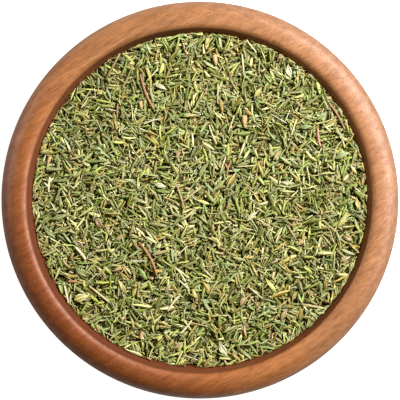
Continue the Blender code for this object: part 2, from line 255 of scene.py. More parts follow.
def new_tree(name, kind, inputs, outputs):
    """A node group with its sockets: its wiring, what it is given, and its output node."""
    tree = bpy.data.node_groups.new(name, kind)
    for label, sort, default in inputs:
        socket = tree.interface.new_socket(label, in_out="INPUT", socket_type="NodeSocket" + sort)
        if default is not None:
            socket.default_value = default
    for label, sort in outputs:
        tree.interface.new_socket(label, in_out="OUTPUT", socket_type="NodeSocket" + sort)
    return Wiring(tree), tree.nodes.new("NodeGroupInput").outputs, tree.nodes.new("NodeGroupOutput")


def new_material(name):
    material = bpy.data.materials.new(name)
    material.use_nodes = True
    material.node_tree.nodes.clear()
    wires = Wiring(material.node_tree)
    shader = wires.add("ShaderNodeBsdfPrincipled")
    wires.add("ShaderNodeOutputMaterial", {"Surface": shader.outputs["BSDF"]})
    return material, wires, shader


# ==== geometry trees ====


def new_geometry_tree(name, inputs):
    geometry = ("Geometry", "Geometry")
    return new_tree(name, "GeometryNodeTree", [(*geometry, None), *inputs], [geometry])


def finish_tree(wires, given, result, geometry):
    inputs = {"Geometry": geometry, "Material": given["Material"]}
    wires.feed(result, {0: wires.add("GeometryNodeSetMaterial", inputs).outputs[0]})
    return wires.tree


def grow(name, start_mesh, tree, values):
    """Runs a tree on a starting mesh and returns the result as an object with a plain mesh."""
    worker = bpy.data.objects.new(name + "_worker", start_mesh)
    bpy.context.scene.collection.objects.link(worker)
    modifier = worker.modifiers.new("Grow", "NODES")
    modifier.node_group = tree
    for item in tree.interface.items_tree:
        if item.in_out == "INPUT" and item.name in values:
            modifier[item.identifier] = values[item.name]
    bpy.context.view_layer.update()
    graph = bpy.context.evaluated_depsgraph_get()
    mesh = bpy.data.meshes.new_from_object(worker.evaluated_get(graph))
    bpy.data.objects.remove(worker)
    mesh.name = name
    return add_piece(name, mesh)


def finished_mesh(name, shape):
    """A smooth mesh from a bmesh, which is used up."""
    for face in shape.faces:
        face.smooth = True
    mesh = bpy.data.meshes.new(name)
    shape.to_mesh(mesh)
    shape.free()
    return mesh


def add_piece(name, mesh):
    piece = bpy.data.objects.new(name, mesh)
    bpy.context.scene.collection.objects.link(piece)
    return piece


def turned_form_tree():
    """Turns a profile round Z. The profile is an object whose vertices run along it in the XZ plane."""
    inputs = [
        ("Profile", "Object", None),
        ("Stations", "Int", 64),
        ("Segments", "Int", TURN_SEGMENTS),
        ("Heap height", "Float", 0.0),
        ("Heap size", "Float", 1.0),
        ("Heap floor", "Float", 0.0),
        ("Material", "Material", None),
    ]
    wires, given, result = new_geometry_tree("Turned form", inputs)
    rings = wires.plus(given["Segments"], 1.0)
    sheet = wires.add(
        "GeometryNodeMeshGrid",
        {"Size X": 1.0, "Size Y": 1.0, "Vertices X": given["Stations"], "Vertices Y": rings},
    )
    place = wires.parts(wires.add("GeometryNodeInputPosition").outputs[0])
    last = wires.minus(given["Stations"], 1.0)
    station = wires.maths("ROUND", wires.times(wires.plus(place["X"], 0.5), last))
    turn = wires.times(wires.plus(place["Y"], 0.5), -math.tau)
    profile = wires.add("GeometryNodeObjectInfo", {"Object": given["Profile"]})
    source = {
        "Geometry": profile.outputs["Geometry"],
        "Value": wires.add("GeometryNodeInputPosition").outputs[0],
        "Index": station,
    }
    point = wires.add("GeometryNodeSampleIndex", source, data_type="FLOAT_VECTOR", domain="POINT")
    on_profile = wires.parts(point.outputs[0])
    spun = wires.vector(
        X=wires.times(on_profile["X"], wires.maths("COSINE", turn)),
        Y=wires.times(on_profile["X"], wires.maths("SINE", turn)),
        Z=on_profile["Z"],
    )
    turned = wires.add("GeometryNodeSetPosition", {"Geometry": sheet.outputs["Mesh"], "Position": spun})
    sewn = wires.add("GeometryNodeMergeByDistance", {"Geometry": turned.outputs[0], "Distance": 0.005 * MM})
    here = wires.add("GeometryNodeInputPosition").outputs[0]
    heap = wires.noise(here, given["Heap size"], 4.0)
    above = wires.maths("GREATER_THAN", wires.parts(here)["Z"], given["Heap floor"])
    rise = wires.times(wires.minus(heap, 0.5), given["Heap height"])
    lift = wires.vector(Z=wires.times(rise, above))
    heaped = wires.add("GeometryNodeSetPosition", {"Geometry": sewn.outputs[0], "Offset": lift})
    smooth = wires.add("GeometryNodeSetShadeSmooth", {"Geometry": heaped.outputs[0]})
    whole = wires.add("GeometryNodeRealizeInstances", {"Geometry": smooth.outputs[0]})
    return finish_tree(wires, given, result, whole.outputs[0])


def strewn_tree():
    """Puts one of several small shapes on each point, as the point's own attributes say."""
    inputs = [
        ("Shapes", "Collection", None),
        ("Skin columns", "Int", SKIN_COLUMNS),
        ("Skin margin", "Float", SKIN_MARGIN),
        ("Material", "Material", None),
    ]
    wires, given, result = new_geometry_tree("Strewn pieces", inputs)

    def attribute(name, kind):
        node = wires.add("GeometryNodeInputNamedAttribute", {"Name": name}, data_type=kind)
        return node.outputs["Attribute"]

    shapes = wires.add(
        "GeometryNodeCollectionInfo",
        {"Collection": given["Shapes"], "Separate Children": True, "Reset Children": True},
    )
    turn = wires.add("FunctionNodeEulerToRotation", {"Euler": attribute("tilt", "FLOAT_VECTOR")})
    strewn = wires.add(
        "GeometryNodeInstanceOnPoints",
        {
            "Points": given["Geometry"],
            "Instance": shapes.outputs[0],
            "Pick Instance": True,
            "Instance Index": attribute("shape", "INT"),
            "Rotation": turn.outputs[0],
            "Scale": attribute("size", "FLOAT_VECTOR"),
        },
    )
    whole = wires.add("GeometryNodeRealizeInstances", {"Geometry": strewn.outputs[0]})
    skin = attribute("skin", "INT")
    columns, margin = given["Skin columns"], given["Skin margin"]
    row = wires.maths("FLOOR", wires.maths("DIVIDE", skin, columns))
    cell = wires.vector(X=wires.maths("MODULO", skin, columns), Y=row)
    room = wires.minus(1.0, wires.times(margin, 2.0))
    inside = wires.vector_maths("MULTIPLY_ADD", attribute("blade", "FLOAT_VECTOR"), room, margin)
    spot = wires.scaled(wires.vector_maths("ADD", cell, inside), wires.maths("DIVIDE", 1.0, columns))
    mapped = wires.add(
        "GeometryNodeStoreNamedAttribute",
        {"Geometry": whole.outputs[0], "Name": "OFBake", "Value": spot},
        data_type="FLOAT2",
        domain="CORNER",
    )
    geometry = mapped.outputs[0]
    for name in ("tilt", "shape", "size", "skin", "blade"):
        gone = wires.add("GeometryNodeRemoveAttribute", {"Geometry": geometry, "Name": name})
        geometry = gone.outputs[0]
    return finish_tree(wires, given, result, geometry)


# ==== the bowl ====


def bezier(start, start_handle, end_handle, end, count):
    return interpolate_bezier(Vector(start), Vector(start_handle), Vector(end_handle), Vector(end), count)


def elliptic_arc(centre, radii, first_angle, last_angle, count):
    """Points between two angles in degrees, without the first, counted from +X towards +Z."""
    points = []
    for step in range(1, count + 1):
        angle = math.radians(first_angle + (last_angle - first_angle) * step / count)
        points.append(Vector(centre) + Vector((radii[0] * math.cos(angle), radii[1] * math.sin(angle))))
    return points


def inside_curve(count):
    top = Vector((MOUTH_RADIUS, LIP_HEIGHT))
    down_wall = Vector((-math.sin(WALL_TAPER), -math.cos(WALL_TAPER)))
    floor_centre = (0.0, FLOOR_HEIGHT)
    floor_handle = (FLOOR_FLAT, FLOOR_HEIGHT)
    return bezier(floor_centre, floor_handle, top + WALL_STRAIGHT * down_wall, top, count)


def rounded(corner, before, after, size, count=4):
    """A small round in place of a sharp corner between two neighbouring profile points."""
    start = corner + (before - corner).normalized() * size
    end = corner + (after - corner).normalized() * size
    return bezier(start, start.lerp(corner, 0.6), end.lerp(corner, 0.6), end, count)


def bowl_profile():
    lip = elliptic_arc((CREST_RADIUS, LIP_HEIGHT), LIP_ROUND, 180, 90, 12)
    rim = elliptic_arc((CREST_RADIUS, RIM_WIDEST_HEIGHT), RIM_ROUND, 90, 0, 24)
    belly_top = (RIM_RADIUS, RIM_WIDEST_HEIGHT)
    belly_handle = (RIM_RADIUS, RIM_WIDEST_HEIGHT - BELLY_DROP)
    foot_top = Vector((FOOT_RADIUS, FOOT_TOP_HEIGHT))
    up_belly = Vector((math.cos(BELLY_SLOPE), math.sin(BELLY_SLOPE)))
    belly = bezier(belly_top, belly_handle, foot_top + BELLY_REACH * up_belly, foot_top, 40)
    foot_bottom = Vector((FOOT_RADIUS, 0.0))
    ring_inside = Vector((RECESS_RADIUS, 0.0))
    recess = Vector((RECESS_RADIUS - RECESS_DEPTH, RECESS_DEPTH))
    centre = Vector((0.0, RECESS_DEPTH))
    under = rounded(foot_bottom, foot_top, ring_inside, FOOT_EDGE)
    under += rounded(ring_inside, foot_bottom, recess, FOOT_EDGE / 3)
    under += rounded(recess, ring_inside, centre, FOOT_EDGE / 3)
    crease = rounded(foot_top, belly[-2], foot_bottom, FOOT_EDGE / 3)
    return inside_curve(40) + lip + rim + belly[1:-1] + crease + under + [centre]


def turn_piece(name, profile, tree, values):
    mesh = bpy.data.meshes.new(name + "_line")
    mesh.from_pydata([(point[0], 0.0, point[1]) for point in profile], [], [])
    line = add_piece(mesh.name, mesh)
    start = bpy.data.meshes.new(name + "_start")
    piece = grow(name, start, tree, {"Profile": line, "Stations": len(profile), **values})
    bpy.data.objects.remove(line)
    return piece


def turned_wood_group():
    """Side grain of turned wood: growth rings, fibres, pores and broad changes of tone, along X."""
    wires, given, result = new_tree(
        "Turned wood",
        "ShaderNodeTree",
        [
            ("Vector", "Vector", None),
            ("Ring spacing", "Float", 0.0017),
            ("Heart offset", "Vector", (0.0, 0.035, -0.045)),
            ("Waviness", "Float", 0.003),
        ],
        [(name, "Float") for name in ("Rings", "Fibres", "Streaks", "Pores", "Tone")],
    )

    def stretched(vector, share):
        return wires.add("ShaderNodeMapping", {"Vector": vector, "Scale": (share, 1.0, 1.0)}).outputs[0]

    along = stretched(given["Vector"], 0.4)
    wander = wires.add("ShaderNodeTexNoise", {"Vector": along, "Scale": 26.0, "Detail": 2.0})
    centred = wires.vector_maths("SUBTRACT", wander.outputs["Color"], (0.5, 0.5, 0.5))
    bent = wires.vector_maths("ADD", given["Vector"], wires.scaled(centred, given["Waviness"]))
    from_heart = wires.vector_maths("SUBTRACT", bent, given["Heart offset"])
    distance = wires.number("LENGTH", wires.vector_maths("MULTIPLY", from_heart, (0.06, 1.0, 1.0)))
    count = wires.maths("DIVIDE", distance, given["Ring spacing"])
    uneven = wires.noise(wires.vector(X=count), 0.35, 1.0)
    ring = wires.maths("FRACT", wires.plus(count, wires.times(uneven, 3.0)))
    features = {
        "Rings": wires.times(wires.fade(ring, 0.2, 0.88), wires.fade(ring, 1.0, 0.92)),
        "Fibres": wires.noise(stretched(bent, 0.14), 2000.0, 2.0, 0.6),
        "Streaks": wires.noise(stretched(bent, 0.06), 420.0, 3.0, 0.55),
        "Pores": wires.fade(wires.noise(stretched(bent, 0.09), 2300.0, 1.0), 0.62, 0.74),
        "Tone": wires.noise(stretched(bent, 0.4), 95.0, 3.0),
    }
    wires.feed(result, features)
    return wires.tree


def wall_shade_mask(wires, place):
    """Where painted shade darkens the wood: inside the mouth, from under the lip to below the fill's surface.
    """
    height = wires.parts(place)["Z"]
    radius = wires.number("LENGTH", wires.vector_maths("MULTIPLY", place, (1.0, 1.0, 0.0)))
    inside = wires.fade(radius, *WALL_SHADE_EDGE)
    below_lip = wires.fade(height, *WALL_SHADE_TOP)
    above_belly = wires.fade(height, *WALL_SHADE_FOOT)
    return wires.times(wires.times(inside, below_lip), above_belly)


def wood_material(grain_group):
    material, wires, shader = new_material("bowl_wood")
    spot = wires.add("ShaderNodeTexCoord").outputs
    turned = wires.add("ShaderNodeMapping", {"Vector": spot["Object"], "Rotation": (0.0, 0.0, -GRAIN_TURN)})
    grain = wires.add("ShaderNodeGroup", {"Vector": turned.outputs[0]}, node_tree=grain_group).outputs
    # Painted shade darkens the inner wall below the lip, and there the wood has no coat.
    wall_shade_share = wall_shade_mask(wires, spot["Object"])
    unshaded_share = wires.minus(1.0, wall_shade_share)

    def mixed(colour, cover, amount):
        share, other = cover
        return wires.blend(wires.times(amount, share), colour, other)

    # Painted light and shade: the wood is paler towards the key lights, and darker and redder away from them.
    uneven = wires.times(wires.minus(grain["Tone"], 0.5), SHADE_SIDE_WANDER)
    toward_shade_side = wires.plus(wires.number("DOT_PRODUCT", spot["Object"], AWAY_FROM_KEY), uneven)
    side_shade_share = wires.fade(toward_shade_side, *PAINTED_SHADE_REACH)
    side_light_share = wires.fade(toward_shade_side, *PAINTED_LIGHT_REACH)
    colour = mixed(wires.ramp(grain["Tone"], WOOD_TONES), PAINTED_SIDE_SHADE, side_shade_share)
    colour = mixed(colour, PAINTED_SIDE_LIGHT, wires.times(side_light_share, unshaded_share))
    colour = mixed(colour, RINGS, grain["Rings"])
    colour = wires.scaled(colour, wires.remap(grain["Streaks"], 0.35, 0.65, 0.86, 1.13))
    colour = wires.scaled(colour, wires.remap(grain["Fibres"], 0.3, 0.7, 0.74, 1.22))
    colour = mixed(colour, PORES, grain["Pores"])
    # Wood drinks more light where its fibres end than where they run along the surface.
    along = (math.cos(GRAIN_TURN), math.sin(GRAIN_TURN), 0.0)
    end_on = wires.number("DOT_PRODUCT", spot["Normal"], along)
    colour = wires.scaled(colour, wires.remap(wires.times(end_on, end_on), 0.0, 1.0, 1.0, END_GRAIN_SHADE))
    satin = wires.remap(grain["Fibres"], 0.3, 0.7, 0.42, 0.60)
    rough = wires.plus(satin, wires.times(grain["Pores"], 0.2))
    polish = wires.remap(grain["Streaks"], 0.35, 0.65, 0.4, 0.9)
    finish = {
        "Base Color": mixed(colour, PAINTED_WALL_SHADE, wall_shade_share),
        "Roughness": wires.maths("MAXIMUM", rough, wires.times(wall_shade_share, 0.9)),
        "Specular IOR Level": 0.25,
        "Coat Roughness": 0.45,
        "Coat Weight": wires.times(polish, unshaded_share),
        "Normal": wires.relief(wires.minus(grain["Fibres"], grain["Pores"]), 0.5, 0.12 * MM),
    }
    wires.feed(shader, finish)
    return material


# ==== leaf shapes ====

# What the pile is made of. Skins are rows of the map, each with SKIN_COLUMNS skins in it.
PILE_MIX = (
    # kind, share, mean length and its spread, least and most length, least and most width as shares of the
    # length, thickness as a share of the width, rows of skins
    ("needle", 0.36, 4.9 * MM, 1.3 * MM, 2.2 * MM, 8.6 * MM, 0.09, 0.15, 0.5, (0, 8)),
    ("underside", 0.24, 4.5 * MM, 1.1 * MM, 2.2 * MM, 7.6 * MM, 0.13, 0.21, 0.4, (8, 12)),
    ("broad", 0.12, 4.2 * MM, 0.9 * MM, 2.6 * MM, 6.6 * MM, 0.21, 0.31, 0.25, (0, 8)),
    ("half", 0.13, 2.2 * MM, 0.6 * MM, 1.1 * MM, 3.6 * MM, 0.20, 0.38, 0.35, (0, 12)),
    ("stem", 0.06, 5.0 * MM, 2.6 * MM, 1.6 * MM, 12.0 * MM, 0.045, 0.08, 0.8, (12, 14)),
    ("cup", 0.02, 2.3 * MM, 0.3 * MM, 1.7 * MM, 3.0 * MM, 0.40, 0.50, 0.7, (14, 15)),
    ("crumb", 0.07, 1.1 * MM, 0.4 * MM, 0.6 * MM, 1.8 * MM, 0.40, 0.80, 0.5, (15, 16)),
)


def blade(stations, half_widths, section, bend, twist, heights):
    """A closed blade of unit length along X. section gives the points round it, in half widths."""
    shape = bmesh.new()
    layer = shape.loops.layers.uv.new("blade")
    rings = []
    for along, half in zip(stations, half_widths):
        arch = 4 * along * (1 - along)
        swerve = bend[2] * math.sin(math.tau * along)
        centre = Vector((along - 0.5, bend[0] * arch + swerve, bend[1] * arch))
        spin = Matrix.Rotation(twist * (along - 0.5), 3, "X")
        ring = []
        for across, up in section:
            point = spin @ Vector((0.0, across * half * 0.5, up * half * 0.5 * heights))
            ring.append(shape.verts.new(centre + point))
        rings.append(ring)
    tips = []
    for ring, reach in ((rings[0], -0.02), (rings[-1], 0.02)):
        middle = sum((vertex.co for vertex in ring), Vector()) / len(ring)
        tips.append(shape.verts.new(middle + Vector((reach, 0.0, 0.0))))
    places = [(across + 1) / 2 for across, _ in section]

    def add_face(*corners):
        """A face. Each corner is a vertex with its place along and across the blade."""
        face = shape.faces.new([corner[0] for corner in corners])
        for loop, (_, along, across) in zip(face.loops, corners):
            loop[layer].uv = (along, across)

    sides = [(side, (side + 1) % len(section)) for side in range(len(section))]
    for index in range(len(rings) - 1):
        (ring, along), (next_ring, further) = zip(rings[index : index + 2], stations[index : index + 2])
        for side, after in sides:
            add_face(
                (ring[side], along, places[side]),
                (next_ring[side], further, places[side]),
                (next_ring[after], further, places[after]),
                (ring[after], along, places[after]),
            )
    for end, tip_along in ((0, 0.0), (-1, 1.0)):
        ring, along = rings[end], stations[end]
        for side, after in sides:
            edge = (ring[side], along, places[side]), (ring[after], along, places[after])
            add_face(*edge, (tips[end], tip_along, 0.5))
    bmesh.ops.recalc_face_normals(shape, faces=shape.faces)
    return shape


# Points round a section: the share of the half width across, and the height as a share of it.
UPPER_SECTION = ((-1.0, -0.5), (-0.66, 0.42), (0.0, -0.12), (0.66, 0.42), (1.0, -0.5), (0.0, -0.5))
UNDER_SECTION = (
    *((-1.0, -0.15), (-0.74, 0.42), (-0.36, -0.12), (0.0, 0.34)),
    *((0.36, -0.12), (0.74, 0.42), (1.0, -0.15), (0.0, -0.4)),
)
ROUND_SECTION = tuple((math.cos(math.tau * k / 6), math.sin(math.tau * k / 6)) for k in range(6, 0, -1))
STRAIGHT = (0.0, 0.0, 0.0)
WHOLE_LEAVES = (
    # kind, how many, section, ranges of the fullest place and of the tip, spread of the bend sideways,
    # mean and spread of the arch, spread of the swerve and of the twist, range of the heights
    ("needle", 18, UPPER_SECTION, (0.35, 0.6), (0.25, 0.5), 0.2, (0.04, 0.07), 0.07, 1.0, (0.8, 1.7)),
    ("underside", 8, UNDER_SECTION, (0.35, 0.6), (0.25, 0.5), 0.18, (-0.02, 0.07), 0.06, 0.8, (0.7, 1.2)),
    ("broad", 6, UPPER_SECTION, (0.4, 0.55), (0.1, 0.3), 0.09, (0.06, 0.05), 0.04, 0.7, (0.45, 0.8)),
)


def leaf_outline(stations, fullest, tip):
    """Half widths along a leaf: 1 at its fullest, narrow at the stalk, and blunter or finer at the tip."""
    widths = []
    for along in stations:
        if along < fullest:
            widths.append(0.28 + 0.72 * math.sin(math.pi / 2 * along / fullest) ** 1.1)
        else:
            widths.append(tip + (1 - tip) * math.cos(math.pi / 2 * (along - fullest) / (1 - fullest)) ** 0.8)
    return widths


def make_shapes():
    """The small shapes that the pile is made of, in a collection of their own, and each kind's numbers."""
    collection = bpy.data.collections.new("shapes")
    kinds = {row[0]: [] for row in PILE_MIX}
    rng = np.random.default_rng(PILE_SEED)

    def keep(kind, *form):
        number = len(collection.objects)
        name = f"shape_{number:02d}"
        collection.objects.link(bpy.data.objects.new(name, finished_mesh(name, blade(*form))))
        kinds[kind].append(number)

    stations = [0.03, 0.22, 0.45, 0.70, 0.94]
    for kind, count, section, fullest, tip, sideways, arch, swerve, twist, heights in WHOLE_LEAVES:
        for _ in range(count):
            outline = leaf_outline(stations, rng.uniform(*fullest), rng.uniform(*tip))
            bend = (rng.normal(0, sideways), rng.normal(*arch), rng.normal(0, swerve))
            keep(kind, stations, outline, section, bend, rng.normal(0, twist), rng.uniform(*heights))
    stations = [0.02, 0.35, 0.7, 0.97]
    for _ in range(5):
        outline = [rng.uniform(0.8, 1.1), 1.0, rng.uniform(0.7, 1.0), rng.uniform(0.2, 0.5)]
        bend = (rng.normal(0, 0.08), rng.normal(0.04, 0.05), 0.0)
        keep("half", stations, outline, UPPER_SECTION, bend, rng.normal(0, 0.6), rng.uniform(0.5, 1.2))
    stations = [0.01, 0.3, 0.65, 0.99]
    for _ in range(6):
        outline = [rng.uniform(0.75, 1.2) for _ in stations]
        bend = (rng.normal(0, 0.08), rng.normal(0, 0.03), rng.normal(0, 0.03))
        keep("stem", stations, outline, ROUND_SECTION, bend, 0.0, 1.0)
    stations = [0.03, 0.25, 0.6, 0.95]
    for _ in range(3):
        outline = [0.35, 0.8, 0.85, rng.uniform(0.95, 1.15)]
        keep("cup", stations, outline, ROUND_SECTION, STRAIGHT, 0.0, 0.8)
    stations = [0.1, 0.5, 0.9]
    for _ in range(4):
        outline = [rng.uniform(0.5, 0.9), 1.0, rng.uniform(0.4, 0.9)]
        keep("crumb", stations, outline, ROUND_SECTION[::2], STRAIGHT, rng.normal(0, 1.0), 0.6)
    return collection, kinds


# ==== the pile ====


class Pile:
    """A height map of the fill. Each piece settles on what lies below it and raises the map."""

    def __init__(self, surface, ceiling):
        self.target = surface
        self.ceiling = ceiling
        self.top = surface - PILE_DEPTH
        wall = inside_curve(60)
        self.wall_heights = np.array([point.y for point in wall])
        self.wall_radii = np.array([point.x for point in wall])
        self.wall_at_fill = self.wall_radius(BED_HIGH.z - 1.5 * MM)

    def wall_radius(self, height):
        return np.interp(height, self.wall_heights, self.wall_radii)

    def cells(self, x, y):
        numbers = (((place + MOUTH_RADIUS) / PILE_CELL).astype(int) for place in (x, y))
        return tuple(np.clip(number, 0, PILE_SIDE - 1) for number in numbers)

    def low_spots(self, rng, count):
        """Random places, more of them where the pile is still below its target."""
        need = np.clip(self.target - self.top - FULL_WITHIN, 0.0, None).ravel()
        picks = rng.choice(need.size, size=count, p=need / need.sum())
        column, row = np.unravel_index(picks, self.target.shape)
        spread = rng.uniform(0, 1, (2, count))
        return [(place + off) * PILE_CELL - MOUTH_RADIUS for place, off in zip((column, row), spread)]

    def resting_line(self, along, heights):
        """Height at the middle and slope of a stiff rod laid on the given heights."""
        middle = len(along) // 2
        left, right = np.arange(middle), np.arange(middle + 1, len(along))
        s_left, s_right = along[left][:, None], along[right][None, :]
        h_left, h_right = heights[left][:, None], heights[right][None, :]
        at_middle = (h_left * s_right - h_right * s_left) / (s_right - s_left)
        best = np.unravel_index(np.argmax(at_middle), at_middle.shape)
        if at_middle[best] > heights[middle]:
            i, j = left[best[0]], right[best[1]]
            return at_middle[best], (heights[j] - heights[i]) / (along[j] - along[i])
        slopes = (heights[right] - heights[middle]) / along[right]
        back_slopes = (heights[left] - heights[middle]) / along[left]
        return heights[middle], slopes.max() if slopes.max() > -back_slopes.min() else back_slopes.min()

    def off_the_wall(self, x, y, step, length, width):
        """Slides a piece inwards where an end of it would be inside the wall."""
        room = self.wall_at_fill - WALL_CLEARANCE - 0.2 * width
        for share in (-0.5, 0.5):
            end = np.array([x, y]) + share * length * step
            reach = math.hypot(*end)
            if reach > room:
                x, y = np.array([x, y]) - end / reach * (reach - room)
        return x, y

    def settle(self, x, y, turn, length, width, thickness):
        """Lays a piece down: its place, its middle's height, pitch and roll, or None if it doesn't fit."""
        step = np.array([math.cos(turn), math.sin(turn)])
        side = np.array([-step[1], step[0]])
        x, y = self.off_the_wall(x, y, step, length, width)

        def grid(along, across):
            """Places in the pile, from distances along and across the piece."""
            return [
                middle + along[:, None] * step[axis] + across[None, :] * side[axis]
                for axis, middle in enumerate((x, y))
            ]

        along = np.linspace(-0.5, 0.5, 9) * length
        below = self.top[self.cells(*grid(along, np.array([-0.4, 0.0, 0.4]) * width))]
        middle, slope = self.resting_line(along, below.max(axis=1))
        slope = min(STEEPEST, max(-STEEPEST, slope))
        line = middle + slope * along
        sides = below.mean(axis=0)
        roll = math.atan2(sides[2] - sides[0], width) * ROLL_SHARE
        share, spread = np.linspace(-0.5, 0.5, 15), np.linspace(-0.5, 0.5, 5)
        arch = SETTLED_ARCH * length * (1 - 4 * share**2)
        crown = thickness * (1 - 2 * spread**2)[None, :] + arch[:, None]
        cover = middle + slope * share[:, None] * length + crown * PACKING
        where = self.cells(*grid(share * length, spread * width))
        if (cover > self.ceiling[where]).any():
            return None
        ends = np.hypot(x + along * step[0], y + along * step[1]).max() + 0.1 * width
        if ends > self.wall_radius(line.min()) - WALL_CLEARANCE:
            return None
        if line.max() > self.target[where].max() + MOST_PROUD:
            return None
        np.maximum.at(self.top, where, cover)
        return x, y, middle, math.atan(slope), roll


def surface_of(node_name, from_above=True):
    """Heights of a CAD node's surface over the pile's grid, or infinity where it isn't."""
    mesh = frame["nodes"][node_name].data
    low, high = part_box(node_name)
    corners, faces = [vertex.co for vertex in mesh.vertices], [face.vertices for face in mesh.polygons]
    tree = BVHTree.FromPolygons(corners, faces)
    heights = np.full((PILE_SIDE, PILE_SIDE), np.inf)
    start, aim = (high.z + MM, Vector((0, 0, -1))) if from_above else (low.z - MM, Vector((0, 0, 1)))
    first = [max(0, int((low[axis] + MOUTH_RADIUS) / PILE_CELL)) for axis in (0, 1)]
    last = [min(PILE_SIDE - 1, int((high[axis] + MOUTH_RADIUS) / PILE_CELL) + 1) for axis in (0, 1)]
    for column in range(first[0], last[0] + 1):
        for row in range(first[1], last[1] + 1):
            x, y = ((index + 0.5) * PILE_CELL - MOUTH_RADIUS for index in (column, row))
            hit = tree.ray_cast(Vector((x, y, start)), aim)[0]
            if hit is not None:
                heights[column, row] = hit.z
    return heights


def fill_surface():
    """How high the pile is laid: the CAD fill's surface, carried out to the wall and raised there."""
    surface = surface_of("thyme_bed")
    bare = np.isinf(surface)
    surface[bare] = BED_LOW.z
    centres = (np.arange(PILE_SIDE) + 0.5) * PILE_CELL - MOUTH_RADIUS
    radii = np.hypot(centres[:, None], centres[None, :])
    rim_height = surface[(radii > BED_HIGH.x - 1.5 * MM) & ~bare].mean()
    surface[bare & (radii < BED_HIGH.x + 0.8 * MM)] = rim_height
    return surface + WALL_RISE * np.clip((radii - BED_HIGH.x) / (2 * MM) + 1, 0.0, 1.0)


def strew_pile(kinds, bits):
    """Lays the loose pieces one by one. Each row is place, tilt, size, shape and skin."""
    rng = np.random.default_rng(PILE_SEED)
    ceiling = np.full((PILE_SIDE, PILE_SIDE), np.inf)
    for name in bits:
        ceiling = np.minimum(ceiling, surface_of(name, from_above=False) + UNDER_BITS)
    pile = Pile(fill_surface(), ceiling)
    waves = [
        (rng.uniform(*COLOUR_WAVE_RANGE), rng.uniform(0, math.tau), rng.uniform(0, math.tau))
        for _ in range(COLOUR_WAVES)
    ]

    def drift_at(x, y):
        """A slow drift of colour over the pile, from -1 to 1."""
        swell = [math.sin(k * (x * math.cos(turn) + y * math.sin(turn)) + start) for k, turn, start in waves]
        return sum(swell) / len(swell)

    shares = np.array([row[1] for row in PILE_MIX])
    laid = []
    for _ in range(PILE_ROUNDS):
        for x, y in zip(*pile.low_spots(rng, ROUND_LEAVES)):
            pick = PILE_MIX[rng.choice(len(shares), p=shares)]
            kind, _, mean, spread, least, most, slim, stout, thick, rows = pick
            length = float(np.clip(rng.normal(mean, spread), least, most))
            width = max(LEAST_WIDTH, length * rng.uniform(slim, stout))
            turn = rng.uniform(0, math.tau)
            if math.hypot(x, y) > MOUTH_RADIUS - WALL_ZONE and rng.uniform() < ALONG_WALL:
                turn = math.atan2(y, x) + math.pi / 2 + rng.normal(0, ALONG_WALL_SPREAD)
                length *= ALONG_WALL_LENGTH
            thickness = thick * width
            settled = pile.settle(x, y, turn, length, width, thickness)
            leaning = rng.uniform() + COLOUR_DRIFT * drift_at(x, y)
            row = int(np.clip(rows[0] + (rows[1] - rows[0]) * leaning, rows[0], rows[1] - 1))
            skin = row * SKIN_COLUMNS + rng.integers(SKIN_COLUMNS)
            shape, wobble = rng.choice(kinds[kind]), rng.normal(0, ROLL_SPREAD)
            if settled is None:
                continue
            x, y, middle, pitch, roll = settled
            height = middle + LYING * thickness
            laid.append((x, y, height, roll + wobble, -pitch, turn, length, width, width, shape, skin))
    return np.array(laid)


def points_mesh(name, laid):
    mesh = bpy.data.meshes.new(name)
    mesh.from_pydata(laid[:, :3].tolist(), [], [])
    for attribute, values in (("tilt", laid[:, 3:6]), ("size", laid[:, 6:9])):
        layer = mesh.attributes.new(attribute, "FLOAT_VECTOR", "POINT")
        layer.data.foreach_set("vector", values.astype(np.float32).ravel())
    for attribute, column in (("shape", 9), ("skin", 10)):
        layer = mesh.attributes.new(attribute, "INT", "POINT")
        layer.data.foreach_set("value", laid[:, column].astype(np.int32))
    return mesh


# ==== dry leaves and stems ====


SKIN_INPUTS = [("Along", "Float", 0.5), ("Across", "Float", 0.5), ("Place", "Vector", None)]
SKIN_OUTPUTS = [("Colour", "Color"), ("Roughness", "Float"), ("Height", "Float")]


